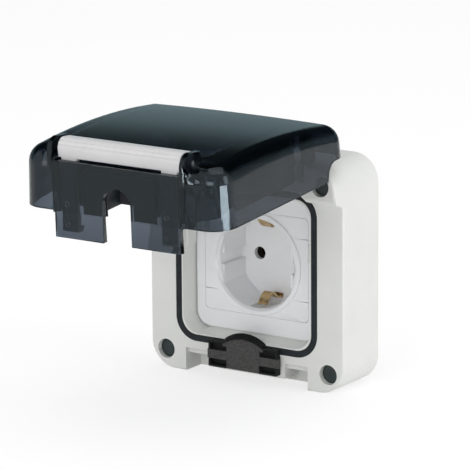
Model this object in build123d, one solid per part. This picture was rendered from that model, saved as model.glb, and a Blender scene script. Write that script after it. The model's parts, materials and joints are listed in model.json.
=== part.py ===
from build123d import *
import os

# Outdoor weatherproof socket with a smoked lid, in millimetres.
# X runs to the right seen from the front, the front faces -Y, Z is up.
# The origin lies on the wall, behind the centre of the round well.
# Lid pieces are described shut and then turned open about the hinge axis.

# Frame: one moulding, open at the back
frame_width = 97.6
frame_height = 99.0
frame_corner = 12.0
frame_depth = 28.0
frame_wall = 2.6
front_wall = 3.0
edge_round = 1.0

# Hinge plateau across the top of the frame
plateau_rise = 6.5
plateau_bottom = 31.9
plateau_shoulder = (32.6, 33.5)
plateau_bend = (34.0, 34.4)
plateau_top_edge = 36.2
plateau_round = 1.6
plateau_ring_gap = 1.5

# Wells for the wall screws, and their caps
well_side_inset = 7.65
well_end_inset = 8.35
well_radius = 4.3
well_wall = 2.0
well_step = 0.4
well_floor = 3.0
wall_hole_radius = 2.4
cap_sink = 2.2
cap_thickness = 1.8
cap_skirt = 4.0
cap_skirt_wall = 1.1
cap_gap = 0.1

# Sealing ring round the recess
ring_half = 35.75
ring_width = 3.0
ring_corner = 10.5
ring_depth = 3.0
ring_proud = 0.3
ring_channel_wall = 1.9

# Recess that takes the mechanism
recess_half = 32.2
recess_corner = 8.0
recess_draft = 1.3
face_depth = 8.4
recess_tube_wall = 2.0
ledge_width = 3.2
ledge_thickness = 2.2

# Square face plate of the mechanism
plate_thickness = 2.6
plate_gap = 0.25
plate_round = 0.6
lug_length = 8.0
lug_low = 5.6
lug_rise = 0.9
lug_depth = 6.6

# Round well and its flange
module_width = 52.0
module_height = 45.2
module_corner = 2.0
module_gap = 0.15
flange_gap = 0.3
flange_thickness = 1.6
well_bore = 19.6
well_depth = 17.6
cup_wall = 1.9
cup_floor = 2.2
collar_radius = 22.5
collar_rise = 0.8
collar_chamfer = 1.1
flat_half = 16.8
flat_sink = 1.6
key_width = 5.2
key_depth = 1.9
pin_pitch = 19.0
pin_hole_radius = 2.8
seam_height = 13.6
seam_width = 0.35
seam_depth = 0.3

# Earth strap with two clips
strap_width = 4.6
strap_thickness = 0.8
strap_gap = 0.05
clip_nose = 14.3
clip_nose_level = -9.2
clip_root = 17.9
clip_slot_width = 8.4
clip_slot_depth = 1.5
clip_reach = 13.6
strap_tab_width = 5.0

# Insulating block behind the well
block_size = 43.0
block_corner = 8.0
block_front = 1.2
block_back = 20.5
pin_path_gap = 0.3
boss_place = 17.0
boss_radius = 2.7
base_screw_radius = 1.3
base_screw_head = 2.4
base_screw_sink = 2.5

# Contacts and terminals
sleeve_bore = 2.45
sleeve_wall = 0.7
sleeve_length = 13.0
sleeve_front = 3.0
sleeve_slit = 1.0
sleeve_gap = 0.15
tail_width = 6.0
tail_thickness = 0.8
terminal_width = 6.8
terminal_height = 7.2
terminal_length = 7.6
terminal_top = -12.0
terminal_front = 7.2
terminal_gap = 0.15
wire_radius = 1.6
terminal_screw_radius = 1.45
terminal_screw_head = 2.3
thread_gap = 0.05

# Seal in the back edge
rear_rim_width = 3.6
rear_rim_depth = 4.0
rear_seal_inset = 1.0
rear_seal_width = 1.6
rear_seal_depth = 1.6

# Notches for the latch arms, and the cable seal between them
notch_outer = 31.0
notch_inner = 19.4
notch_top = -39.2
notch_depth = 11.7
rebate_height = 3.5
catch_drop = 2.6
catch_thickness = 2.0
catch_setback = 2.4
slot_pair_half = 4.5
slot_width = 1.6
slot_height = 1.2
slot_level = -43.4

seal_half = 17.4
seal_top = -33.2
seal_bottom = -44.75
seal_rise = 2.9
seal_rim = 0.9
seal_pocket_depth = 2.0
seal_seat_gap = 0.1
dome_half = 10.2
dome_top = -30.4
dome_back_rise = 1.7
clip_centre_half = 8.4
clip_bar_half = 2.1
clip_bar_level = -39.3
clip_bar_reach = 0.6
clip_gap = 0.1

# Hinge
hinge_forward = 27.9
hinge_height = 45.6
open_angle = 85.5
ear_centre = 30.2
ear_thickness = 3.2
ear_radius = 3.3
ear_gap = 0.3
ear_clearance = 0.5
pin_radius = 1.5
pin_running_gap = 0.06
pin_hold = 4.0
hinge_core_half = 20.5
core_wall = 2.6

# Lid, described shut
lid_half = 50.0
lid_top = 49.2
lid_bottom = -46.8
lid_low_corner = 10.0
lid_top_corner = 9.0
lid_draft = 3.0
lid_wall = 2.4
lid_round = 8.0
rim_gap = 0.9
lid_front_low = 54.0
lid_front_mid = 55.6
lid_front_top = 49.6
lid_side_drop = 0.8
scoop_low = 31.85
scoop_shoulder = (32.7, 33.1)
scoop_bend = (35.5, 35.6)
scoop_top = (36.4, 39.5)

# Raised panel with the flap that drops between the feet of the frame
panel_half = 31.4
panel_level = -49.3
panel_lean = 1.0
panel_wall = 2.4
flap_half = 30.6
flap_reach = 18.6
cable_slot_half = 6.9
cable_slot_top = 42.0

# Wall inside the lid that closes on the sealing ring
seal_wall_thickness = 2.0
seal_wall_gap = 0.2
dome_gap = 0.5

# Latch bar between two cheeks at the free edge of the lid
cheek_inner = 31.2
cheek_thickness = 2.1
cheek_end = 46.9
cheek_curve = ((54.6, -48.3), (57.9, -46.4), (59.3, -42.4))
cheek_root = ((58.4, -35.8), (55.6, -34.8))
bar_half = 29.7
bar_foot = (51.4, -45.3)
bar_face = (54.4, -45.5)
bar_belly = (57.6, -44.4)
bar_crown = (58.9, -41.2)
bar_high = (58.3, -37.2)
bar_heel = (54.4, -37.8)
bar_notch = (51.4, -43.0)
bar_window_top = -36.3
bar_window_rear = 50.6
bar_line_places = (0.3, 0.56)
bar_line_radius = 0.22
rod_forward = 54.8
rod_height = -41.2
rod_radius = 1.0
rod_running_gap = 0.06
arm_inner = 20.6
arm_outer = 28.2
arm_thickness = 1.8
arm_gap = 0.4
arm_reach = 20.9
hook_height = 3.7
hook_thickness = 2.0

# Rubber arch behind the flap
arch_half = 17.8
arch_top = 47.4
arch_bottom = 31.4
arch_gap = 0.3
apron_bottom = 28.9
apron_thickness = 0.6
pocket_wall = 1.2
pocket_end = 33.4

# Ribs in the hollow back of the frame
rib_level = 19.0
rib_thickness = 1.4
rib_back = 8.0

# Derived places
half_width = frame_width / 2
half_height = frame_height / 2
front = -frame_depth
plateau_front = front - plateau_rise
face = front + face_depth
plate_back = face + plate_thickness
flange_back = plate_back + flange_thickness
ledge_back = flange_back + ledge_thickness
cup_floor_front = face + well_depth
cup_back = cup_floor_front + cup_floor
rim = front - rim_gap
well_x = frame_width / 2 - well_side_inset
well_z = frame_height / 2 - well_end_inset
hinge = (0, -hinge_forward, hinge_height)
hinge_axis = Axis((0, -hinge_forward, hinge_height), (1, 0, 0))

# Cuts run past the outside of every piece
cut_margin = 10.0
past_side = lid_half + cut_margin
past_front = lid_front_mid + cut_margin


def slab(sketch, y_back, y_front):
    """Extrude an XZ outline from y_back forward to y_front."""
    return extrude(Plane.XZ.offset(-y_back) * sketch, y_back - y_front)


def block(x0, x1, y0, y1, z0, z1):
    """Box between two opposite corners."""
    place = Pos((x0 + x1) / 2, (y0 + y1) / 2, (z0 + z1) / 2)
    return place * Box(abs(x1 - x0), abs(y1 - y0), abs(z1 - z0))


def rod_y(x, z, radius, y_back, y_front):
    """Round bar along Y."""
    return slab(Pos(x, z) * Circle(radius), y_back, y_front)


def rod_x(x0, x1, y, z, radius):
    """Round bar along X."""
    return extrude(Plane.YZ.offset(x0) * (Pos(y, z) * Circle(radius)), x1 - x0)


def side_prism(points, x0, x1):
    """Prism along X over a polygon of (forward distance, height) points."""
    corners = [(-forward, height) for forward, height in points]
    outline = make_face(Polyline(*corners, close=True))
    return extrude(Plane.YZ.offset(x0) * outline, x1 - x0)


def square(half, corner):
    return RectangleRounded(2 * half, 2 * half, corner)


def frame_outline(inset):
    width = frame_width - 2 * inset
    height = frame_height - 2 * inset
    return RectangleRounded(width, height, max(frame_corner - inset, 1))


def corner_places():
    return [(x, z) for x in (-well_x, well_x) for z in (-well_z, well_z)]


def opened(shape):
    """Turn a piece of the lid from shut to the open pose."""
    return shape.rotate(hinge_axis, -open_angle)


def save(shape, name):
    solids = shape.solids()
    if len(solids) == 1:
        shape = solids[0]
    else:
        shape = Compound(children=solids)
    export_step(shape, "parts/" + name + ".step")


def plateau():
    """Raised top of the frame, cut round the sealing ring."""
    keep = Pos(0, (plateau_bottom + half_height) / 2)
    keep = keep * Rectangle(frame_width, half_height - plateau_bottom)
    outline = frame_outline(0) & keep
    outline -= square(ring_half + plateau_ring_gap, ring_corner + plateau_ring_gap)
    raised = slab(outline, front + edge_round, plateau_front)
    raised = fillet(raised.faces().sort_by(Axis.Y)[0].edges(), plateau_round)

    # the lower edge rises in a gentle slope and rounds over
    foot = Line((front, plateau_bottom), forward(plateau_shoulder))
    bend = ThreePointArc(forward(plateau_shoulder), forward(plateau_bend),
                         (plateau_front, plateau_top_edge))
    rest = Polyline((plateau_front, plateau_top_edge), (plateau_front - 2, 34),
                    (plateau_front - 2, 20), (front + 2, 20),
                    (front + 2, plateau_bottom), (front, plateau_bottom))
    below = make_face(foot + bend + rest)
    return raised - extrude(Plane.YZ.offset(-past_side) * below, 2 * past_side)


def forward(point):
    """Side-view point given as (distance in front of the wall, height)."""
    return (-point[0], point[1])


def make_frame():
    body = slab(frame_outline(0), 0, front)
    body = fillet(body.faces().sort_by(Axis.Y)[0].edges(), edge_round)
    body += plateau()

    # hollow from behind, with a thicker rim at the wall
    body -= slab(frame_outline(frame_wall), 0, front + front_wall)
    rear_rim = slab(frame_outline(0), 0, -rear_rim_depth)
    rear_rim -= slab(frame_outline(rear_rim_width), 0, -rear_rim_depth)
    body += rear_rim
    core = block(-hinge_core_half, hinge_core_half, front + front_wall,
                 plateau_front + core_wall, ring_half + 3.2, half_height - core_wall)
    body -= core

    # channel of the sealing ring and tube of the recess
    channel_half = ring_half + ring_channel_wall
    channel_back = front + ring_depth + ring_channel_wall
    body += slab(square(channel_half, ring_corner + ring_channel_wall), channel_back,
                 front + front_wall)
    tube_half = recess_half + recess_tube_wall
    body += slab(square(tube_half, recess_corner + recess_tube_wall), ledge_back,
                 front + front_wall)

    # the recess narrows towards the ledge
    mouth = Plane.XZ.offset(-front) * square(recess_half, recess_corner)
    floor_half = recess_half - recess_draft
    throat = Plane.XZ.offset(-flange_back) * square(floor_half, recess_corner - 1)
    body -= loft([mouth, throat])
    ledge_half = floor_half - ledge_width
    body -= slab(square(ledge_half, recess_corner - 2), 0, front)

    # groove of the sealing ring
    groove = square(ring_half, ring_corner)
    groove -= square(ring_half - ring_width, ring_corner - ring_width)
    body -= slab(groove, front + ring_depth, plateau_front - 1)

    # wells of the wall screws
    for x, z in corner_places():
        top = plateau_front if z > 0 else front
        body += rod_y(x, z, well_radius + well_wall, 0, front + front_wall)
        step = top + cap_sink + cap_thickness
        body -= rod_y(x, z, well_radius, step, top - 1)
        body -= rod_y(x, z, well_radius - well_step, -well_floor, top - 1)
        body -= rod_y(x, z, wall_hole_radius, 1, -well_floor - 1)

    # ribs between the recess tube and the side walls
    for side in (-1, 1):
        for level in (-rib_level, rib_level):
            body += block(side * (tube_half - 0.5), side * (half_width - frame_wall + 1),
                          -rib_back, front + front_wall, level - rib_thickness / 2,
                          level + rib_thickness / 2)

    body = cut_notches(body)
    body = cut_hinge(body)
    body -= rear_seal_ring()
    body += recess_lugs()
    return body & slab(frame_outline(0), 1, plateau_front - 1)


def cut_notches(body):
    """Rebate for the flap, two notches, and the ribs that the hooks catch."""
    low = -half_height - 1
    back = front + notch_depth
    body += block(-notch_outer - frame_wall, notch_outer + frame_wall,
                  back + front_wall, front + front_wall, -half_height + 1,
                  notch_top + frame_wall)
    body -= block(-notch_outer, notch_outer, back, front - 1, low,
                  -half_height + rebate_height)
    for side in (-1, 1):
        x_in = side * notch_inner
        x_out = side * notch_outer
        body -= block(x_in, x_out, back, front - 1, low, notch_top)
        catch_front = front + catch_setback
        body += block(x_in, x_out, catch_front, catch_front + catch_thickness,
                      notch_top - catch_drop, notch_top + 1)
        middle = (x_in + x_out) / 2
        for offset in (-slot_pair_half, slot_pair_half):
            x = middle + offset
            body -= block(x - slot_width / 2, x + slot_width / 2, back - 1,
                          back + 1, slot_level - slot_height / 2,
                          slot_level + slot_height / 2)
    return body


def cut_hinge(body):
    """Slots for the ears of the lid and bores for the two hinge pins."""
    slot_half = ear_thickness / 2 + ear_gap
    slot_low = hinge_height - ear_radius - ear_clearance
    slot_back = -hinge_forward + ear_radius + ear_clearance
    holder = slot_half + core_wall
    for side in (-1, 1):
        x = side * ear_centre
        body += block(x - holder, x + holder, slot_back + core_wall, front + 1,
                      slot_low - core_wall, half_height - 1)
        body -= block(x - slot_half, x + slot_half, slot_back, plateau_front - 1,
                      slot_low, half_height + 1)
        inner = side * hinge_core_half
        outer = side * (ear_centre + slot_half + pin_hold)
        body += rod_x(min(inner, outer), max(inner, outer), -hinge_forward,
                      hinge_height, pin_radius + 1.4) & slab(
                          frame_outline(0), -1, plateau_front)
        body -= block(x - slot_half, x + slot_half, slot_back, plateau_front - 1,
                      slot_low, half_height + 1)
        body -= rod_x(min(inner, outer), max(inner, outer), -hinge_forward,
                      hinge_height, pin_radius)
    return body


def rear_seal_ring():
    ring = frame_outline(rear_seal_inset)
    ring -= frame_outline(rear_seal_inset + rear_seal_width)
    return slab(ring, 0, -rear_seal_depth)


def recess_lugs():
    """Snap lugs on the side walls of the recess that hold the face plate."""
    lug_back = face - module_gap
    lugs = Part()
    for side in (-1, 1):
        wall = recess_half - recess_draft
        x_in = side * (wall - lug_rise + 0.4)
        x_out = side * (recess_half + 0.3)
        lugs += block(x_in, x_out, lug_back, lug_back - lug_depth, lug_low,
                      lug_low + lug_length)
    return lugs


def make_lid_gasket():
    ring = square(ring_half - 0.05, ring_corner - 0.05)
    ring -= square(ring_half - ring_width + 0.05, ring_corner - ring_width)
    gasket = slab(ring, front + ring_depth, front - ring_proud)
    return chamfer(gasket.faces().sort_by(Axis.Y)[0].edges(), 0.25)


def make_plate():
    half = recess_half - recess_draft - plate_gap
    plate = slab(square(half, recess_corner - 1.2), plate_back, face)
    plate = fillet(plate.faces().sort_by(Axis.Y)[0].edges(), plate_round)
    window = RectangleRounded(module_width + 2 * module_gap,
                              module_height + 2 * module_gap, module_corner)
    plate -= slab(window, plate_back, face - 1)
    for z in (-seam_height, seam_height):
        plate -= block(-half, half, face + seam_depth, face - 1,
                       z - seam_width / 2, z + seam_width / 2)
    return plate


def make_cup():
    outer = well_bore + cup_wall
    flange_half = recess_half - recess_draft - flange_gap
    cup = slab(square(flange_half, recess_corner - 1.3), flange_back, plate_back)
    cup += slab(RectangleRounded(module_width, module_height, module_corner),
                plate_back, face)
    cup += rod_y(0, 0, outer, cup_back, face)
    for sign in (-1, 1):
        cup += rod_y(sign * boss_place, sign * boss_place, boss_radius, cup_back,
                     plate_back)
    collar = rod_y(0, 0, collar_radius, face, face - collar_rise)
    cup += fillet(collar.faces().sort_by(Axis.Y)[0].edges(), 0.4)

    # well with a chamfered mouth, flats at the sides and a key groove in each
    well = rod_y(0, 0, well_bore, cup_floor_front, face - collar_rise - 1)
    mouth = Plane.XZ.offset(-face + collar_rise) * Circle(well_bore + collar_chamfer)
    throat = Plane.XZ.offset(-face + collar_rise - 1.6) * Circle(well_bore)
    flats_front = face - collar_rise + flat_sink
    flats = Part()
    for side in (-1, 1):
        flat = block(side * flat_half, side * (well_bore + 1), cup_floor_front,
                     flats_front, -well_bore, well_bore)
        flat -= block(side * (flat_half - 1), side * (flat_half + key_depth),
                      cup_floor_front, flats_front - 1, -key_width / 2,
                      key_width / 2)
        flats += flat
    cup -= well - flats
    cup -= loft([mouth, throat])

    # channels of the earth clips, pin holes, screw holes and seams
    for sign in (-1, 1):
        reach = well_bore + clip_slot_depth
        cup -= block(-clip_slot_width / 2, clip_slot_width / 2, cup_floor_front,
                     face + 1.2, sign * (well_bore - 3), sign * reach)
        cup -= block(-strap_width / 2 - strap_gap, strap_width / 2 + strap_gap,
                     cup_back + 1, cup_floor_front - 1, sign * (clip_root - 1.6),
                     sign * (clip_root + 0.5))
        cup -= rod_y(sign * pin_pitch / 2, 0, pin_hole_radius, cup_back + 1,
                     cup_floor_front - 1)
        cup -= rod_y(sign * boss_place, sign * boss_place,
                     base_screw_radius + thread_gap, cup_back + 1, plate_back + 3)
    for z in (-seam_height, seam_height):
        for sign in (-1, 1):
            cup -= block(sign * (collar_radius - 3), sign * module_width / 2,
                         face + seam_depth, face - 0.01, z - seam_width / 2,
                         z + seam_width / 2)
    return cup


def make_strap():
    """Flat strap behind the well with a curved clip at each end."""
    strap_front = cup_back + strap_gap
    strap_back = strap_front + strap_thickness
    strap = block(-strap_width / 2, strap_width / 2, strap_front, strap_back,
                  -clip_root, clip_root)
    for sign in (-1, 1):
        root = (strap_back, sign * (clip_root - strap_thickness / 2))
        knee = (cup_floor_front - 1.5, sign * (clip_root - strap_thickness / 2))
        nose = (clip_nose_level, sign * (clip_nose + strap_thickness / 2))
        tip = (-clip_reach - 1.2, sign * (clip_root + 0.9))
        path = Line(root, knee) + Spline(knee, nose, tip,
                                         tangents=[(-1, 0), (-0.55, sign * 0.83)])
        outline = trace(path, strap_thickness)
        clip = extrude(Plane.YZ.offset(-strap_width / 2) * outline, strap_width)
        strap += clip
    tab_level = terminal_top + tail_thickness / 2
    strap += block(-strap_tab_width / 2, strap_tab_width / 2, strap_front,
                   terminal_front + terminal_length, tab_level - tail_thickness / 2,
                   tab_level + tail_thickness / 2)
    return strap


def make_block():
    size = RectangleRounded(block_size, block_size, block_corner)
    body = slab(size, block_back, block_front)
    body = chamfer(body.faces().sort_by(Axis.Y)[-1].edges(), 0.8)
    sleeve_outer = sleeve_bore + sleeve_wall + sleeve_gap
    for sign in (-1, 1):
        x = sign * pin_pitch / 2
        body -= rod_y(x, 0, pin_hole_radius + pin_path_gap, sleeve_front + 1,
                      block_front - 1)
        body -= rod_y(x, 0, sleeve_outer, sleeve_front + sleeve_length + 1.5,
                      sleeve_front - sleeve_gap)
        body -= block(x - 0.7, x + 0.7, terminal_front + terminal_length,
                      terminal_front, terminal_top - 1, 0)
    body -= block(-strap_tab_width / 2 - 0.2, strap_tab_width / 2 + 0.2,
                  terminal_front + terminal_length, block_front - 1,
                  terminal_top - 1, terminal_top + tail_thickness + 0.2)
    half = terminal_width / 2 + terminal_gap
    for x in terminal_places():
        body -= block(x - half, x + half, block_back + 1,
                      terminal_front - terminal_gap,
                      terminal_top - terminal_height - terminal_gap, terminal_top)
        screw_y = terminal_front + terminal_length / 2
        hole = Plane.XY.offset(-block_size / 2 - 1) * (
            Pos(x, screw_y) * Circle(terminal_screw_head + 0.3))
        body -= extrude(hole, block_size / 2 + 2 + terminal_top - terminal_height)
    for sign in (-1, 1):
        x = sign * boss_place
        body -= rod_y(x, x, base_screw_radius + 0.2, block_back + 1, block_front - 1)
        body -= rod_y(x, x, base_screw_head + 0.2, block_back + 1,
                      block_back - base_screw_sink)
        # room for the knees of the earth clips
        body -= block(-strap_width / 2 - 0.3, strap_width / 2 + 0.3,
                      block_front + 0.2, block_front - 1, sign * 10,
                      sign * (clip_root + 1))
    return body


def terminal_places():
    return (-pin_pitch / 2, 0, pin_pitch / 2)


def make_contact(sign):
    """Slit sleeve for one pin, with a tail down to its terminal."""
    x = sign * pin_pitch / 2
    back = sleeve_front + sleeve_length
    outer = sleeve_bore + sleeve_wall
    sleeve = rod_y(x, 0, outer, back, sleeve_front)
    tail_back = terminal_front + terminal_length - 1
    tail = block(x - tail_thickness / 2, x + tail_thickness / 2,
                 tail_back - tail_width, tail_back, terminal_top, 0)
    contact = sleeve + tail
    contact -= rod_y(x, 0, sleeve_bore, back + 1, sleeve_front - 1)
    contact -= block(x - sleeve_slit / 2, x + sleeve_slit / 2, sleeve_front - 1,
                     back + 1, sleeve_bore - 0.5, outer + 1)
    return contact


def make_terminal(x):
    """Clamp block with a wire bore and a threaded hole from below."""
    back = terminal_front + terminal_length
    middle = terminal_top - 0.36 * terminal_height
    body = block(x - terminal_width / 2, x + terminal_width / 2, terminal_front,
                 back, terminal_top - terminal_height, terminal_top)
    body = chamfer(body.edges().filter_by(Axis.Z), 0.5)
    body -= rod_y(x, middle, wire_radius, back + 1, terminal_front - 1)
    hole = Plane.XY.offset(terminal_top - terminal_height) * (
        Pos(x, terminal_front + terminal_length / 2)
        * Circle(terminal_screw_radius + thread_gap))
    body -= extrude(hole, terminal_height + middle - terminal_top)
    return body


def make_terminal_screws():
    screws = Part()
    for x in terminal_places():
        base = terminal_top - terminal_height
        tip = terminal_top - 0.36 * terminal_height - wire_radius + 0.6
        spot = Pos(x, terminal_front + terminal_length / 2)
        shank = extrude(Plane.XY.offset(base - 0.6) * (
            spot * Circle(terminal_screw_radius)), tip - base + 0.6)
        head = extrude(Plane.XY.offset(base - 1.9) * (
            spot * Circle(terminal_screw_head)), 1.3)
        slot = Pos(x, terminal_front + terminal_length / 2, base - 1.9)
        head -= slot * Box(0.7, 2 * terminal_screw_head + 1, 1.2)
        screws += shank + head
    return screws


def make_base_screws():
    screws = Part()
    for sign in (-1, 1):
        x = sign * boss_place
        seat = block_back - base_screw_sink
        screw = rod_y(x, x, base_screw_radius, seat, plate_back + 4)
        head = rod_y(x, x, base_screw_head, seat + 1.6, seat)
        head -= block(x - 0.4, x + 0.4, seat + 1.0, seat + 2, x - 3, x + 3)
        screws += screw + head
    return screws


def make_cap(x, z):
    """Round cap over a wall screw, with a skirt that grips the well."""
    top = (plateau_front if z > 0 else front) + cap_sink
    cap = rod_y(x, z, well_radius - cap_gap, top + cap_thickness, top)
    cap = fillet(cap.faces().sort_by(Axis.Y)[0].edges(), 0.4)
    skirt = well_radius - well_step - cap_gap
    cap += rod_y(x, z, skirt, top + cap_thickness + cap_skirt, top + cap_thickness)
    cap -= rod_y(x, z, skirt - cap_skirt_wall, top + cap_thickness + cap_skirt + 1,
                 top + cap_thickness)
    return cap


def seal_outline(inset):
    width = 2 * (seal_half - inset)
    height = seal_top - seal_bottom - 2 * inset
    middle = (seal_top + seal_bottom) / 2
    return Pos(0, middle) * RectangleRounded(width, height, 0.6)


def make_seal_lower():
    """Rubber block with a rim, corner pockets and a dome that slopes forward."""
    tip = front - seal_rise
    dome_seat = front - ring_proud - seal_seat_gap
    body = slab(seal_outline(0), front - seal_seat_gap, tip)
    back_face = Plane.XZ.offset(-dome_seat) * dome_outline(-dome_back_rise)
    front_face = Plane.XZ.offset(-tip) * dome_outline(0)
    body -= block(-40, 40, dome_seat, 0, seal_top - 3.2, seal_top + 2)
    body += loft([back_face, front_face])
    body -= slab(seal_outline(seal_rim), tip + seal_pocket_depth, tip - 1)
    body -= slab(clip_outline(0), tip + seal_pocket_depth, tip - 1)
    return body


def dome_outline(inset):
    """Low arch that stands above the seal block."""
    half = dome_half
    foot = seal_top - 0.4 - inset * 0.9
    low = seal_top - 2
    crown = ThreePointArc((-half, foot), (0, dome_top - inset), (half, foot))
    sides = Polyline((half, foot), (half, low), (-half, low), (-half, foot))
    return make_face(crown + sides)


def clip_outline(inset):
    """Cross of a tall middle and a bar, with a domed top."""
    low = seal_bottom - 1
    high = seal_top - 1
    middle = Pos(0, (low + high) / 2)
    cross = middle * Rectangle(2 * (clip_centre_half - inset), high - low)
    bar = Pos(0, clip_bar_level)
    bar = bar * Rectangle(2 * (seal_half + clip_bar_reach), 2 * (clip_bar_half - inset))
    return cross + bar + dome_outline(0.5 + inset)


def make_seal_clip():
    """Charcoal cross that lies in the pockets of the seal."""
    tip = front - seal_rise
    keep = Rectangle(2 * (seal_half + clip_bar_reach), -2 * seal_bottom)
    outline = clip_outline(clip_gap) & keep
    clip = slab(outline, tip + seal_pocket_depth - clip_gap, tip)
    return fillet(clip.faces().sort_by(Axis.Y)[0].edges(), 0.3)


def make_hinge_pin(sign):
    inner = sign * (hinge_core_half + 0.3)
    outer = sign * (ear_centre + ear_thickness / 2 + ear_gap + pin_hold - 0.1)
    return rod_x(min(inner, outer), max(inner, outer), -hinge_forward, hinge_height,
                 pin_radius)


def lid_front_body(inset):
    """Body behind the lid's front, crowned both ways."""
    low = lid_front_low - inset
    mid = lid_front_mid - inset
    high = lid_front_top - inset
    reach = 50.0

    # circle through the three front points gives the axis of the crown
    bend = (2 * mid - low - high) / 2
    slope = (high - low) / 2
    radius = (reach ** 2 + slope ** 2 + bend ** 2) / (2 * bend)
    centre_height = slope * (radius - bend / 2) / reach
    top = -mid
    axis = Axis((0, radius - mid, centre_height), (1, 0, 0))

    edge = 60.0
    drop = lid_side_drop * (edge / reach) ** 2
    crown = ThreePointArc((-edge, top + drop), (0, top), (edge, top + drop))
    rest = Polyline((edge, top + drop), (edge, -5), (-edge, -5), (-edge, top + drop))
    section = Plane.XY.offset(centre_height) * make_face(crown + rest)
    body = revolve(section, axis, 40)
    return body.rotate(axis, -20)


def lid_form(inset, start):
    """Lid body with drafted walls, crowned front and rounded front edges."""
    spread = (start - rim) * 0.0524
    half = lid_half - inset + spread
    top = lid_top - inset + spread
    bottom = lid_bottom + inset - spread
    outline = Pos(0, (top + bottom) / 2) * Rectangle(2 * half, top - bottom)
    corners = outline.vertices().sort_by(Axis.Y)
    outline = fillet(corners[:2], lid_low_corner - inset)
    corners = outline.vertices().sort_by(Axis.Y)
    outline = fillet(corners[-2:], lid_top_corner - inset)
    base = Plane.XZ.offset(-start) * outline
    body = extrude(base, lid_front_mid + 6 + start, taper=lid_draft)
    body = body & lid_front_body(inset)
    crown = body.faces().sort_by(Axis.Y)[0]
    return fillet(crown.edges(), lid_round - inset)


def scoop():
    """Space cleared in the lid for the frame's hinge plateau."""
    foot = Line((0, scoop_low), (rim, scoop_low))
    rise = Line((rim, scoop_low), forward(scoop_shoulder))
    bend = ThreePointArc(forward(scoop_shoulder), forward(scoop_bend),
                         forward(scoop_top))
    rest = Polyline(forward(scoop_top), (-scoop_top[0], past_side), (0, past_side),
                    (0, scoop_low))
    outline = make_face(foot + rise + bend + rest)
    return extrude(Plane.YZ.offset(-past_side) * outline, 2 * past_side)


def arch_prism(half, crown, z0, z1, y_low):
    """Arched cable passage through walls that face up or down."""
    spring = -(crown - half)
    sketch = Pos(0, (y_low + spring) / 2) * Rectangle(2 * half, y_low - spring)
    sketch += Pos(0, spring) * Circle(half)
    return extrude(Plane.XY.offset(z0) * sketch, z1 - z0)


def make_lid():
    shell = lid_form(0, rim) - lid_form(lid_wall, rim + 1)
    shell -= scoop()

    # wall that closes on the sealing ring
    mid_half = ring_half - ring_width / 2
    ring_wall = square(mid_half + seal_wall_thickness / 2, ring_corner)
    ring_wall -= square(mid_half - seal_wall_thickness / 2,
                        ring_corner - seal_wall_thickness)
    wall_end = front - ring_proud - seal_wall_gap
    fill = inner_fill()
    ring_wall = slab(ring_wall, wall_end, -past_front) & fill
    gate = front - seal_rise - dome_gap
    ring_wall -= block(-seal_half - 1.5, seal_half + 1.5, 0, gate, -40, -28)
    ring_wall -= scoop()
    shell += ring_wall

    # raised panel that ends in the flap
    shell -= panel(panel_half - 0.5, rim + 1, -bar_window_rear, 0.5)
    shell += panel(panel_half, rim, -bar_window_rear - 1, 0)
    shell += panel(flap_half, -flap_reach, rim - 1, 0)
    shell -= panel(panel_half - panel_wall, rim + 1, -bar_window_rear - 2, panel_wall,
                   2.0)
    shell -= block(-flap_half - 1, flap_half + 1, 0, rim, panel_level + panel_wall + 0.06,
                   -40)

    # free edge opened for the latch bar, closed at its ends by cheeks
    shell -= block(-cheek_inner, cheek_inner, -bar_window_rear, -past_front,
                   panel_level - 3, bar_window_top)
    for side in (-1, 1):
        shell += make_cheek(side)

    # pocket walls of the rubber arch
    for side in (-1, 1):
        x0 = side * (arch_half + arch_gap)
        x1 = side * (arch_half + arch_gap + pocket_wall)
        shell += block(x0, x1, -pocket_end, -arch_top, panel_level + panel_wall - 0.6,
                       -ring_half + 1)

    # cable slot through panel, flap and sealing wall
    shell -= arch_prism(cable_slot_half, cable_slot_top, -past_side,
                        -ring_half + 3.6, -flap_reach + 1)
    for side in (-1, 1):
        shell += hinge_ear(side * ear_centre, fill)
        x = side * (cheek_inner + cheek_thickness / 2)
        shell -= rod_x(x - cheek_thickness, x + cheek_thickness, -rod_forward,
                       rod_height, rod_radius)
    return shell


def panel_face(distance):
    """Height of the panel's outer face, which leans back a little."""
    return panel_level + panel_lean * (distance - flap_reach) / 30


def panel(half, y_back, y_front, inset, extra=0.4):
    """Part of the raised panel between two depths."""
    top = lid_bottom + lid_wall + extra
    corners = [(-y_back, panel_face(-y_back) + inset),
               (-y_front, panel_face(-y_front) + inset), (-y_front, top),
               (-y_back, top)]
    return side_prism(corners, -half, half)


def make_cheek(side):
    start = (cheek_end, cheek_curve[0][1] - 0.2)
    first, middle, last = [forward(point) for point in cheek_curve]
    front_line = Line(forward(start), first)
    arc = ThreePointArc(first, middle, last)
    inner = (cheek_end, cheek_root[1][1])
    rest = Polyline(last, forward(cheek_root[0]), forward(cheek_root[1]),
                    forward(inner), forward(start))
    x0 = min(side * cheek_inner, side * (cheek_inner + cheek_thickness))
    outline = make_face(front_line + arc + rest)
    return extrude(Plane.YZ.offset(x0) * outline, cheek_thickness)


def inner_fill():
    """Room inside the lid's walls, with a little bite for joining."""
    return lid_form(lid_wall - 0.6, rim + 1)


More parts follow.
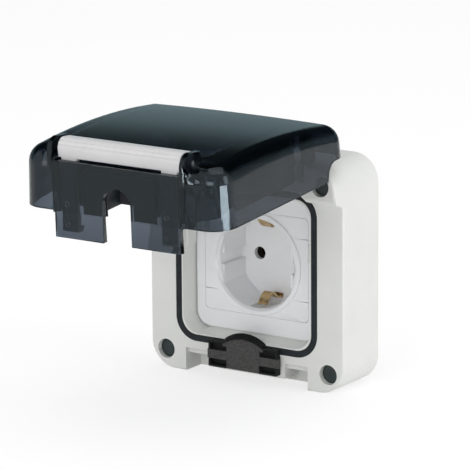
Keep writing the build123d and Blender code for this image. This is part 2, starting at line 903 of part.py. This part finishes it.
def hinge_ear(x, fill):
    """Ear that reaches back from the lid's end wall to the hinge pin."""
    x0 = x - ear_thickness / 2
    low = hinge_height - ear_radius + 0.1
    high = hinge_height + ear_radius - 0.1
    depth = scoop_top[0] + 3
    arm = block(x0, x0 + ear_thickness, -depth, -lid_front_mid, low, high) & fill
    arm += block(x0, x0 + ear_thickness, -hinge_forward, -depth - 1, low, high)
    ear = arm + rod_x(x0, x0 + ear_thickness, -hinge_forward, hinge_height,
                      ear_radius)
    return ear - rod_x(x0 - 1, x0 + ear_thickness + 1, -hinge_forward, hinge_height,
                       pin_radius + pin_running_gap)


def make_seal_upper():
    """Rubber block with an arched passage and a thin apron in front."""
    z_low = panel_face(arch_top) + panel_wall + arch_gap
    z_high = -(ring_half - ring_width / 2) - seal_wall_thickness / 2 - arch_gap
    body = block(-arch_half, arch_half, -arch_bottom, -arch_top, z_low, z_high)
    body += block(-arch_half, arch_half, -apron_bottom, -arch_top, z_low,
                  z_low + apron_thickness)
    body -= arch_prism(cable_slot_half, cable_slot_top, -past_side, 0, -20)
    return body


def make_latch_bar():
    length = bar_half
    face_line = Line(forward(bar_foot), forward(bar_face))
    curve = ThreePointArc(forward(bar_face), forward(bar_belly), forward(bar_crown))
    rest = Polyline(*[forward(point) for point in
                      (bar_crown, bar_high, bar_heel, bar_notch, bar_foot)])
    outline = make_face(face_line + curve + rest)
    bar = extrude(Plane.YZ.offset(-length) * outline, 2 * length)
    for place in bar_line_places:
        spot = curve @ place
        bar -= rod_x(-length - 1, length + 1, spot.X, spot.Y, bar_line_radius)
    for side in (-1, 1):
        x0 = side * arm_inner
        x1 = side * arm_outer
        tip = panel_face(arm_reach) + panel_wall + arm_gap
        root = panel_face(bar_foot[0] + 1.5) + panel_wall + arm_gap
        arm = [(arm_reach, tip), (bar_foot[0] + 1.5, root),
               (bar_foot[0] + 1.5, root + arm_thickness), (arm_reach, tip + arm_thickness)]
        bar += side_prism(arm, min(x0, x1), max(x0, x1))
        bar += block(x0, x1, -arm_reach - hook_thickness, -arm_reach,
                     tip + 0.1, tip + hook_height)
    bar -= rod_x(-past_side, past_side, -rod_forward, rod_height, rod_radius + rod_running_gap)
    return bar


def make_latch_rod():
    reach = cheek_inner + cheek_thickness
    return rod_x(-reach, reach, -rod_forward, rod_height, rod_radius)


os.makedirs("parts", exist_ok=True)

save(make_frame(), "frame_housing")
save(rear_seal_ring(), "wall_gasket")
save(make_lid_gasket(), "lid_gasket")
save(make_plate(), "insert_plate")
save(make_cup(), "socket_cup")
save(make_block(), "base_block")
save(make_contact(-1), "line_contact")
save(make_contact(1), "neutral_contact")
save(make_strap(), "earth_strap")
save(make_terminal(-pin_pitch / 2), "line_terminal")
save(make_terminal(pin_pitch / 2), "neutral_terminal")
save(make_terminal(0), "earth_terminal")
save(make_terminal_screws(), "terminal_screws")
save(make_base_screws(), "base_screws")
for height_name, z in (("bottom", -well_z), ("top", well_z)):
    for side_name, x in (("left", -well_x), ("right", well_x)):
        save(make_cap(x, z), "screw_cap_" + height_name + "_" + side_name)
save(make_seal_lower(), "cable_seal_lower")
save(make_seal_clip(), "seal_clip")
save(make_hinge_pin(-1), "hinge_pin_left")
save(make_hinge_pin(1), "hinge_pin_right")
save(opened(make_lid()), "lid_shell")
save(opened(make_seal_upper()), "cable_seal_upper")
save(opened(make_latch_bar()), "latch_bar")
save(opened(make_latch_rod()), "latch_rod")
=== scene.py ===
import json
import math

import bmesh
import bpy
import numpy as np
from mathutils import Matrix, Vector


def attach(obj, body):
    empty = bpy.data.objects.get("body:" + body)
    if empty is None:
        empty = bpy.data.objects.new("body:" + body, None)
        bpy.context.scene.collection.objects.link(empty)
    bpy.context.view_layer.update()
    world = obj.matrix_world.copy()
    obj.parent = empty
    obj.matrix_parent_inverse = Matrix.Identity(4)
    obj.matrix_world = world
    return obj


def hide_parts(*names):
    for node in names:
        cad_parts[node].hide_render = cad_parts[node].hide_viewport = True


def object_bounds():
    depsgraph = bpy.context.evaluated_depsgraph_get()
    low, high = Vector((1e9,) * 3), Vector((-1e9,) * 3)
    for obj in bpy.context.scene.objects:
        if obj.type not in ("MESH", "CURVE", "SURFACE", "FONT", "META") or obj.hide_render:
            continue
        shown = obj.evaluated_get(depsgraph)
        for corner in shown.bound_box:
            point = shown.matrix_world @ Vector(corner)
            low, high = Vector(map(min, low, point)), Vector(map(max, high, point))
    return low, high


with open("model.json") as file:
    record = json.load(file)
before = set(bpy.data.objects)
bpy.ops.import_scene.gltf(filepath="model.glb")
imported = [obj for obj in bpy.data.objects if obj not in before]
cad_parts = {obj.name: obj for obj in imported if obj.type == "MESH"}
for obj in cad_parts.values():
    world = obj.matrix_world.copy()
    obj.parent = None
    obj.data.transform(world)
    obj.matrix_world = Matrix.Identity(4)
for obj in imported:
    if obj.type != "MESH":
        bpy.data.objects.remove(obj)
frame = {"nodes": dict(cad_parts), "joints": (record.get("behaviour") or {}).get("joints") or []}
nodes = frame["nodes"]
solid_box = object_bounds()

# The view. A long lens looks at the socket from its front right and a little from above,
# as the photograph does, so the round well, the right wall and the top of the lid all show.
view_azimuth = math.radians(33.331)
view_elevation = math.radians(13.366)
view_roll = math.radians(-0.383)
view_target = Vector((-0.010528, -0.020, 0.011384))
view_distance = 1.588
focal_pixels = 3721.49
picture_width = 470.0
sensor_width = 36.0

view_back = Vector((math.sin(view_azimuth) * math.cos(view_elevation),
                    -math.cos(view_azimuth) * math.cos(view_elevation),
                    math.sin(view_elevation)))
level_right = Vector((math.cos(view_azimuth), math.sin(view_azimuth), 0.0))
level_up = view_back.cross(level_right)
view_right = math.cos(view_roll) * level_right + math.sin(view_roll) * level_up
view_up = math.cos(view_roll) * level_up - math.sin(view_roll) * level_right

lens = bpy.data.cameras.new("view")
lens.sensor_fit = "HORIZONTAL"
lens.sensor_width = sensor_width
lens.lens = focal_pixels * sensor_width / picture_width
lens.clip_start = 0.05
lens.clip_end = 30.0
camera = bpy.data.objects.new("view", lens)
bpy.context.scene.collection.objects.link(camera)
turn = Matrix((view_right, view_up, view_back)).transposed().to_4x4()
camera.matrix_world = Matrix.Translation(view_target + view_distance * view_back) @ turn
bpy.context.scene.camera = camera
bpy.context.scene.view_settings.view_transform = "Standard"


# The studio. The socket stands on a white sweep with a soft shadow, lit by soft boxes on the
# right, in front and above and by pale light from all round. Gloss sees a white room in
# front and on the right, and a dim cool one to the back left, darkest high up.
def feed(tree, source, target):
    """Link an output socket to an input socket, or set the input to a plain value."""
    if isinstance(source, bpy.types.NodeSocket):
        tree.links.new(source, target)
    else:
        target.default_value = source


def add(tree, kind, **values):
    """Place a node. A value named like a setting of the node is set on it, and any other
    goes to the input of that name, with underscores for its spaces."""
    node = tree.nodes.new("ShaderNode" + kind)
    for name, value in values.items():
        if hasattr(node, name):
            setattr(node, name, value)
        else:
            feed(tree, value, node.inputs[name.replace("_", " ")])
    return node


def reckon(tree, operation, *terms, kind="Math", output="Value", clamp=False):
    """Arithmetic node on terms that are sockets or values; gives its output."""
    node = add(tree, kind, operation=operation)
    if clamp:
        node.use_clamp = True
    for place, term in enumerate(terms):
        feed(tree, term, node.inputs[place])
    return node.outputs[output]


def ramp(tree, source, low, high, at_low=0.0, at_high=1.0):
    """Smooth step from at_low to at_high while the source goes from low to high."""
    return add(tree, "MapRange", interpolation_type="SMOOTHSTEP", Value=source, From_Min=low,
               From_Max=high, To_Min=at_low, To_Max=at_high).outputs["Result"]


def mix(tree, kind, factor, first, second):
    """Mix of two numbers (FLOAT) or two colours (RGBA) by a factor; gives its output."""
    node = add(tree, "Mix", data_type=kind)
    first_place, second_place, output = {"FLOAT": (2, 3, 0), "RGBA": (6, 7, 2)}[kind]
    feed(tree, factor, node.inputs[0])
    feed(tree, first, node.inputs[first_place])
    feed(tree, second, node.inputs[second_place])
    return node.outputs[output]


room_light = 0.62
back_left = (-0.53, 0.81, 0.25)
cool_white = (0.66, 0.92, 1.0, 1.0)
white = (1.0, 1.0, 1.0, 1.0)

world = bpy.data.worlds.new("pale_room")
bpy.context.scene.world = world
world.use_nodes = True
room = world.node_tree
room.nodes.clear()
rays = add(room, "LightPath").outputs
seen = reckon(room, "MAXIMUM", rays["Is Camera Ray"], rays["Is Transmission Ray"])
heading = add(room, "TexCoord").outputs["Generated"]
turned_back = reckon(room, "DOT_PRODUCT", heading, back_left, kind="VectorMath")
front_gloss = ramp(room, turned_back, 0.1, 0.6, at_low=1.0, at_high=0.0)
height = add(room, "SeparateXYZ", Vector=heading).outputs["Z"]
back_gloss = ramp(room, height, 0.19, 0.45, at_low=0.37, at_high=0.03)
gloss = reckon(room, "MAXIMUM", front_gloss, back_gloss)
unseen = mix(room, "FLOAT", rays["Is Glossy Ray"], room_light, gloss)
strength = mix(room, "FLOAT", seen, unseen, 1.0)
cool = reckon(room, "SUBTRACT", rays["Is Glossy Ray"], front_gloss, clamp=True)
cast = mix(room, "RGBA", cool, white, cool_white)
light = add(room, "Background", Color=cast, Strength=strength)
add(room, "OutputWorld", Surface=light.outputs["Background"])


def soft_box(name, spot, width, height, power, aim=(0.0, -0.03, 0.0)):
    """Flat lamp of width by height metres at a spot, turned to its aim and out of view."""
    lamp = bpy.data.lights.new(name, "AREA")
    lamp.shape = "RECTANGLE"
    lamp.size = width
    lamp.size_y = height
    lamp.energy = power
    stand = bpy.data.objects.new(name, lamp)
    stand.visible_camera = False
    bpy.context.scene.collection.objects.link(stand)
    beam = Vector(aim) - Vector(spot)
    stand.matrix_world = (Matrix.Translation(Vector(spot))
                          @ beam.to_track_quat("-Z", "Y").to_matrix().to_4x4())
    return stand


soft_box("right_box", (1.15, 0.05, 0.45), width=0.5, height=0.9, power=3.7)
soft_box("front_box", (0.3, -1.6, 0.34), width=1.0, height=0.5, power=5.6)
soft_box("top_box", (0.1, 0.1, 1.5), width=1.4, height=1.4, power=6.0)
# A small strip that shows only as the highlight on the lid's front right corner
glint = soft_box("low_strip", (0.40, -0.185, -0.002), width=0.25, height=0.085, power=0.8,
                 aim=(0.048, -0.117, 0.0))
glint.visible_diffuse = False


def grid_faces(rows, columns, rows_close=False, columns_close=False):
    """Four-cornered faces between the neighbours of a grid numbered row by row. A direction
    that closes also has the faces from its last line back to its first."""
    row = np.arange(rows if rows_close else rows - 1)[:, None]
    column = np.arange(columns if columns_close else columns - 1)[None, :]
    next_row = (row + 1) % rows
    next_column = (column + 1) % columns
    here = row * columns + column
    beside = row * columns + next_column
    across = next_row * columns + next_column
    ahead = next_row * columns + column
    return np.stack([here, beside, across, ahead], -1).reshape(-1, 4)


def mesh_object(name, points, faces, material):
    """Object with a mesh of the given points, in metres, and lists of corner numbers."""
    mesh = bpy.data.meshes.new(name)
    mesh.from_pydata(points.reshape(-1, 3).tolist(), [], faces)
    mesh.materials.append(material)
    thing = bpy.data.objects.new(name, mesh)
    bpy.context.scene.collection.objects.link(thing)
    return thing


card_white = (0.93, 0.93, 0.93, 1.0)
glow_strength = 1.11
most_glow = 0.62
white_sweep = bpy.data.materials.new("white_sweep")
white_sweep.use_nodes = True
sweep = white_sweep.node_tree
sweep.nodes.clear()
rays = add(sweep, "LightPath").outputs
card = add(sweep, "BsdfDiffuse", Color=card_white)
glow = add(sweep, "Emission", Color=white, Strength=glow_strength)
seen = reckon(sweep, "MAXIMUM", rays["Is Camera Ray"], rays["Is Transmission Ray"])
shown = reckon(sweep, "MAXIMUM", seen, rays["Is Glossy Ray"])
both = add(sweep, "MixShader")
feed(sweep, reckon(sweep, "MULTIPLY", shown, most_glow), both.inputs[0])
feed(sweep, card.outputs["BSDF"], both.inputs[1])
feed(sweep, glow.outputs["Emission"], both.inputs[2])
add(sweep, "OutputMaterial", Surface=both.outputs["Shader"])

# The floor is level: a square grid at the height of the socket's lowest point.
floor_reach = 5.0
floor_lines = 21
floor_level = float(solid_box[0][2])
steps = np.linspace(-floor_reach, floor_reach, floor_lines)
east, north = np.meshgrid(steps, steps, indexing="ij")
floor = mesh_object("floor", np.stack([east, north, np.full_like(east, floor_level)], -1),
                    grid_faces(floor_lines, floor_lines)[:, ::-1].tolist(), white_sweep)


# Frame: one injection moulding in light grey thermoplastic, screwed to the wall at its
# four corners. Its finish is the fine spark-eroded grain of the mould, hardly glossy.
def paint(red, green, blue):
    """Linear colour of a value read off a screen, by the power law of the sRGB curve."""
    tone = np.array([red, green, blue], float) / 255.0
    linear = np.where(tone <= 0.04045, tone / 12.92, ((tone + 0.055) / 1.055) ** 2.4)
    return (*[float(value) for value in linear], 1.0)


def new_group(name, inputs):
    """Empty shader group. Its inputs are (name, kind, value); it puts out a tint, a dullness
    and a height. Gives the group, the sockets of its inputs and those of its outputs."""
    tree = bpy.data.node_groups.new(name, "ShaderNodeTree")
    for label, kind, value in inputs:
        socket = tree.interface.new_socket(label, in_out="INPUT", socket_type="NodeSocket" + kind)
        socket.default_value = value
    for label, kind in (("Tint", "Color"), ("Dullness", "Float"), ("Height", "Float")):
        tree.interface.new_socket(label, in_out="OUTPUT", socket_type="NodeSocket" + kind)
    given = tree.nodes.new("NodeGroupInput")
    result = tree.nodes.new("NodeGroupOutput")
    return tree, given.outputs, result.inputs


def finished(name, group, values, depth, **finish):
    """Material whose colour, roughness and relief come from a group with the given values.
    The relief is depth metres high, and the finish is set on the shader itself."""
    material = bpy.data.materials.new(name)
    material.use_nodes = True
    tree = material.node_tree
    tree.nodes.clear()
    texture = tree.nodes.new("ShaderNodeGroup")
    texture.node_tree = group
    for label, value in values.items():
        texture.inputs[label].default_value = value
    relief = add(tree, "Bump", Strength=1.0, Distance=depth, Height=texture.outputs["Height"])
    surface = add(tree, "BsdfPrincipled", Base_Color=texture.outputs["Tint"],
                  Roughness=texture.outputs["Dullness"], Normal=relief.outputs["Normal"],
                  **finish)
    add(tree, "OutputMaterial", Surface=surface.outputs["BSDF"])
    return material


# Mould grain: fine pits for the height, slow clouds for colour and shine.
grain, given, result = new_group(
    "mould_grain",
    [("Tint", "Color", (0.8, 0.8, 0.8, 1.0)), ("Shade", "Color", (0.7, 0.7, 0.7, 1.0)),
     ("Pits per metre", "Float", 9000.0), ("Clouds per metre", "Float", 45.0),
     ("Dullness", "Float", 0.4), ("Unevenness", "Float", 0.08)])
place = add(grain, "TexCoord").outputs["Object"]
pits = add(grain, "TexNoise", Vector=place, Scale=given["Pits per metre"], Detail=3.0,
           Roughness=0.6).outputs["Fac"]
clouds = add(grain, "TexNoise", Vector=place, Scale=given["Clouds per metre"], Detail=4.0,
             Roughness=0.55).outputs["Fac"]
cloudy = ramp(grain, clouds, 0.35, 0.7)
feed(grain, mix(grain, "RGBA", cloudy, given["Tint"], given["Shade"]), result["Tint"])
slow = reckon(grain, "MULTIPLY_ADD", cloudy, given["Unevenness"], given["Dullness"])
pit_dullness = 0.06
feed(grain, reckon(grain, "MULTIPLY_ADD", pits, pit_dullness, slow), result["Dullness"])
feed(grain, pits, result["Height"])


def moulded(name, tint, shade, pits, clouds, dullness, unevenness, depth, ior):
    """Moulded plastic or rubber, with so many pits and clouds per metre. The depth is how
    high the grain stands, in metres."""
    values = {"Tint": paint(*tint), "Shade": paint(*shade), "Pits per metre": pits,
              "Clouds per metre": clouds, "Dullness": dullness, "Unevenness": unevenness}
    return finished(name, grain, values, depth, IOR=ior)


def dressed_copy(node, piece, body, material, crease=28.0, flat=0.1):
    """Welded copy of a solid's mesh, with the triangles of each flat face joined into one
    up to the flat angle, shaded smooth up to the crease angle, both in degrees."""
    shape = nodes[node].data.copy()
    shape.name = piece
    work = bmesh.new()
    work.from_mesh(shape)
    bmesh.ops.remove_doubles(work, verts=work.verts, dist=2e-6)
    bmesh.ops.dissolve_limit(work, angle_limit=math.radians(flat), verts=work.verts,
                             edges=work.edges)
    work.to_mesh(shape)
    work.free()
    shape.materials.clear()
    shape.materials.append(material)
    shape.polygons.foreach_set("use_smooth", np.ones(len(shape.polygons), bool))
    shape.set_sharp_from_angle(angle=math.radians(crease))
    copy = bpy.data.objects.new(piece, shape)
    bpy.context.scene.collection.objects.link(copy)
    even = copy.modifiers.new("even_shading", "WEIGHTED_NORMAL")
    even.keep_sharp = True
    even.weight = 80
    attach(copy, body)
    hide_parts(node)


frame_grey = moulded("frame_grey", tint=(229, 230, 227), shade=(225, 226, 223), pits=9000.0,
                     clouds=40.0, dullness=0.34, unevenness=0.05, depth=0.000012, ior=1.46)
dressed_copy("frame_housing", "frame_moulding", "base", frame_grey)


# Wall gasket and lid gasket: dark foamed rubber, one let into the back edge and one pressed
# into the groove round the recess, where it stands a little proud.
gasket_rubber = moulded("gasket_rubber", tint=(22, 29, 34), shade=(16, 22, 26), pits=14000.0,
                        clouds=160.0, dullness=0.55, unevenness=0.12, depth=0.00002, ior=1.36)
dressed_copy("wall_gasket", "wall_seal", "base", gasket_rubber)
dressed_copy("lid_gasket", "ring_seal", "base", gasket_rubber, crease=50.0)


# Face plate and round cup of the mechanism: two mouldings in the same hard thermoset,
# paler than the frame and a little glossier. The plate lies in front of the cup's flange.
insert_grey = moulded("insert_grey", tint=(242, 243, 244), shade=(238, 239, 241), pits=7000.0,
                      clouds=55.0, dullness=0.27, unevenness=0.05, depth=0.000008, ior=1.5)
dressed_copy("insert_plate", "face_plate", "base", insert_grey)
dressed_copy("socket_cup", "plug_cup", "base", insert_grey)


# Insulating block behind the cup: dark brown-grey pressed thermoset with a coarser grain,
# held by two screws. Only its back shows, from behind the wall.
block_dark = moulded("block_dark", tint=(58, 56, 54), shade=(44, 43, 42), pits=4000.0,
                     clouds=120.0, dullness=0.6, unevenness=0.12, depth=0.00003, ior=1.4)
dressed_copy("base_block", "insulating_block", "base", block_dark)


# Earth strap, contact sleeves and clamp blocks: rolled and pressed brass, bare, with the
# streaks of the rolling and a little warm tarnish. The sleeves are painted much darker than
# the rest: painted shade for the depth of their holes.
streaks, given, result = new_group(
    "rolled_metal",
    [("Bright", "Color", (0.8, 0.6, 0.3, 1.0)), ("Dark", "Color", (0.5, 0.4, 0.2, 1.0)),
     ("Dullness", "Float", 0.25), ("Stretch", "Vector", (1.0, 1.0, 1.0))])
place = add(streaks, "TexCoord").outputs["Object"]
drawn = reckon(streaks, "MULTIPLY", place, given["Stretch"], kind="VectorMath", output="Vector")
lines = add(streaks, "TexNoise", Vector=drawn, Scale=1.0, Detail=5.0,
            Roughness=0.65).outputs["Fac"]
tarnish = add(streaks, "TexNoise", Vector=place, Scale=260.0, Detail=3.0,
              Roughness=0.5).outputs["Fac"]
patches = ramp(streaks, tarnish, 0.4, 0.72)
feed(streaks, mix(streaks, "RGBA", patches, given["Bright"], given["Dark"]), result["Tint"])
line_dullness = 0.22
feed(streaks, reckon(streaks, "MULTIPLY_ADD", lines, line_dullness, given["Dullness"]),
     result["Dullness"])
feed(streaks, lines, result["Height"])


def metal(name, bright, dark, dullness, stretch, depth):
    """Bare metal with streaks: noise stretched along one axis in object space."""
    values = {"Bright": paint(*bright), "Dark": paint(*dark), "Dullness": dullness,
              "Stretch": stretch}
    return finished(name, streaks, values, depth, Metallic=1.0)


rolled_brass = metal("rolled_brass", bright=(214, 186, 140), dark=(176, 142, 96),
                     dullness=0.14, stretch=(9000.0, 600.0, 600.0), depth=0.000006)
for node, piece in (("earth_strap", "earth_clips"), ("line_terminal", "line_clamp"),
                    ("neutral_terminal", "neutral_clamp"), ("earth_terminal", "earth_clamp")):
    dressed_copy(node, piece, "base", rolled_brass, crease=35.0)
# The sleeves' brass is painted dark and dull: painted shade for the deep holes they sit in.
sleeve_brass_painted_shade = metal("sleeve_brass_painted_shade", bright=(84, 72, 54), dark=(58, 50, 40), dullness=0.45,
                   stretch=(600.0, 9000.0, 600.0), depth=0.000006)
for node, piece in (("line_contact", "line_sleeve"), ("neutral_contact", "neutral_sleeve")):
    dressed_copy(node, piece, "base", sleeve_brass_painted_shade, crease=35.0)


# Screws and pins: zinc-plated steel, turned, so the streaks run round them. Two screws hold
# the block, three clamp the wires, two pins carry the lid and a rod carries the latch bar.
plated_steel = metal("plated_steel", bright=(196, 198, 200), dark=(160, 163, 166),
                     dullness=0.2, stretch=(900.0, 900.0, 7000.0), depth=0.000004)
for node, piece, body in (("terminal_screws", "clamp_screws", "base"),
                          ("base_screws", "block_screws", "base"),
                          ("hinge_pin_left", "lid_pin_left", "base"),
                          ("hinge_pin_right", "lid_pin_right", "base"),
                          ("latch_rod", "bar_rod", "lid")):
    dressed_copy(node, piece, body, plated_steel, crease=35.0)


# Screw caps: dark grey plugs pushed into the corner wells over the wall screws, with a
# rounded rim and a satin top.
cap_grey = moulded("cap_grey", tint=(40, 52, 51), shade=(32, 42, 42), pits=8000.0,
                   clouds=200.0, dullness=0.42, unevenness=0.1, depth=0.000015, ior=1.42)
for height in ("top", "bottom"):
    for side in ("left", "right"):
        dressed_copy(f"screw_cap_{height}_{side}", f"cap_{height}_{side}", "base",
                     cap_grey, crease=50.0)


# Cable seal under the recess: a soft black rubber block with sunk corners, and the charcoal
# cross that lies in it, with a dome over the middle.
black_rubber = moulded("black_rubber", tint=(9, 11, 12), shade=(6, 7, 8), pits=12000.0,
                       clouds=150.0, dullness=0.6, unevenness=0.12, depth=0.00002, ior=1.3)
dressed_copy("cable_seal_lower", "lower_seal", "base", black_rubber)
charcoal = moulded("charcoal", tint=(61, 60, 59), shade=(42, 41, 41), pits=5200.0,
                   clouds=900.0, dullness=0.42, unevenness=0.14, depth=0.00004, ior=1.45)
dressed_copy("seal_clip", "seal_cross", "base", charcoal)


# Lid: one polished moulding in smoked see-through plastic, with a raised panel and flap,
# ears for the pins and cheeks for the latch bar. The smoke is in the plastic itself, so
# thick edges and overlapping walls are darker than a single wall.
smoke, given, result = new_group(
    "smoked_body",
    [("Tint", "Color", (0.3, 0.3, 0.3, 1.0)), ("Deep", "Color", (0.2, 0.2, 0.2, 1.0)),
     ("Dullness", "Float", 0.04)])
place = add(smoke, "TexCoord").outputs["Object"]
flow = add(smoke, "TexNoise", Vector=place, Scale=22.0, Detail=3.0,
           Roughness=0.5).outputs["Fac"]
feed(smoke, mix(smoke, "RGBA", flow, given["Tint"], given["Deep"]), result["Tint"])
scratches = add(smoke, "TexNoise", Vector=place, Scale=2600.0, Detail=4.0,
                Roughness=0.7).outputs["Fac"]
scratch_dullness = 0.05
feed(smoke, reckon(smoke, "MULTIPLY_ADD", scratches, scratch_dullness, given["Dullness"]),
     result["Dullness"])
feed(smoke, scratches, result["Height"])

# The cool blue specular tint is a painted cool cast: every reflection on the lid is tinted blue.
smoked = finished("smoked", smoke,
                  {"Tint": paint(248, 249, 250), "Deep": paint(243, 244, 246),
                   "Dullness": 0.01},
                  depth=0.000001, IOR=1.45, Specular_Tint=(0.74, 0.9, 1.0, 1.0),
                  Transmission_Weight=1.0)
inside = add(smoked.node_tree, "VolumeAbsorption", Color=(0.02, 0.09, 0.19, 1.0),
             Density=1030.0)
feed(smoked.node_tree, inside.outputs["Volume"],
     smoked.node_tree.get_output_node("ALL").inputs["Volume"])
dressed_copy("lid_shell", "smoked_lid", "lid", smoked, crease=32.0,
             flat=0.02)


# Rubber arch behind the flap: the upper half of the cable seal, dark and soft, held in the
# pocket between the flap and the lid's sealing wall.
arch_rubber = moulded("arch_rubber", tint=(26, 38, 41), shade=(18, 27, 29), pits=12000.0,
                      clouds=150.0, dullness=0.45, unevenness=0.12, depth=0.00002, ior=1.5)
dressed_copy("cable_seal_upper", "upper_seal", "lid", arch_rubber)


# Membrane in the arch: a thin dark rubber skin across the cable passage, with the passage's
# round crown and a straight foot. Like the next piece it is given in millimetres, as it
# lies with the lid shut, and then turned open about the lid's hinge.
lid_hinge = next(joint for joint in frame["joints"] if joint["name"] == "lid_hinge")
pivot = np.array(lid_hinge["pos_m"], float)
open_turn = math.radians(lid_hinge["range_deg"][1])


def opened(points):
    """Points in millimetres, lid shut, as metres with the lid open: x stays, and y and z
    turn round the hinge pivot by the angle from shut to open."""
    cosine, sine = math.cos(open_turn), math.sin(open_turn)
    swing = np.array([[1.0, 0.0, 0.0], [0.0, cosine, sine], [0.0, -sine, cosine]])
    return (points / 1000.0 - pivot) @ swing.T + pivot


passage_half = 6.86
foot_y = -31.7
spring_y = -35.1
crown_y = -41.96
crown_half = 0.02
skin_low = -36.35
skin_high = -35.95

# From the foot to the spring the half width is the passage's. From there to the crown it
# goes with the cosine of a quarter turn, while y goes with its sine. Each row runs from
# side to side along the lower face and back along the upper one.
turns = np.linspace(0.0, math.pi / 2, 25)
straight = np.linspace(foot_y, spring_y, 5)[:-1]
row_half = np.concatenate([np.full_like(straight, passage_half), passage_half * np.cos(turns)])
row_half[-1] = crown_half
row_y = np.concatenate([straight, spring_y + (crown_y - spring_y) * np.sin(turns)])
share = np.linspace(-1.0, 1.0, 9)
loop_share = np.concatenate([share, share[::-1]])
loop_z = np.repeat([skin_low, skin_high], len(share))
skin = np.stack(np.broadcast_arrays(row_half[:, None] * loop_share, row_y[:, None], loop_z), -1)
rows, loop = skin.shape[:2]
skin_faces = grid_faces(rows, loop, columns_close=True).tolist()
foot_face = list(range(loop))[::-1]
crown_face = list(range((rows - 1) * loop, rows * loop))
skin_faces += [foot_face, crown_face]
membrane_rubber = moulded("membrane_rubber", tint=(46, 44, 50), shade=(34, 33, 38),
                          pits=9000.0, clouds=300.0, dullness=0.5, unevenness=0.1,
                          depth=0.00001, ior=1.4)
membrane = mesh_object("passage_membrane", opened(skin), skin_faces, membrane_rubber)
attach(membrane, "lid")


# Ejector marks: four faint rings left by the mould's pins on the outer face of the flap,
# two on each side of the cable slot. That face leans back as it nears the wall.
mark_x = (-24.2, 24.2)
mark_y = (-33.0, -24.5)
flap_end_y = -18.6
flap_level = -49.3
flap_lean = 1.0 / 30.0

# A mark is a low ridge carried round a circle: radius and height above the face, in
# millimetres, for each point of its section, whose foot lies just under the face.
section = np.array([(0.86, -0.03), (0.90, 0.06), (1.02, 0.10), (1.16, 0.06), (1.20, -0.03)])
radius, rise = section.T
turns = np.linspace(0.0, 2 * math.pi, 37)[:-1]
centres = np.array([(x, y) for x in mark_x for y in mark_y])
ring_x = centres[:, 0, None, None] + radius * np.cos(turns)[:, None]
ring_y = centres[:, 1, None, None] + radius * np.sin(turns)[:, None]
ring_z = flap_level - (ring_y - flap_end_y) * flap_lean - rise
rings = np.stack([ring_x, ring_y, ring_z], -1)
ring_faces = grid_faces(len(turns), len(section), rows_close=True, columns_close=True)[:, ::-1]
ring_starts = np.arange(len(centres)) * len(turns) * len(section)
mark_faces = (ring_starts[:, None, None] + ring_faces).reshape(-1, 4).tolist()
mark_smoke = moulded("mark_smoke", tint=(48, 52, 60), shade=(40, 44, 52), pits=9000.0,
                     clouds=300.0, dullness=0.25, unevenness=0.1, depth=0.000002, ior=1.45)
marks = mesh_object("ejector_marks", opened(rings), mark_faces, mark_smoke)
marks.data.polygons.foreach_set("use_smooth", np.ones(len(marks.data.polygons), bool))
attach(marks, "lid")


# Latch bar: light grey glossy moulding across the lid's free corner, with two hooked arms
# that drop into the notches of the frame. It turns on the rod between the lid's cheeks.
bar_grey = moulded("bar_grey", tint=(220, 219, 220), shade=(215, 214, 215), pits=6000.0,
                   clouds=60.0, dullness=0.22, unevenness=0.04, depth=0.000006, ior=1.5)
dressed_copy("latch_bar", "latch_handle", "latch", bar_grey)
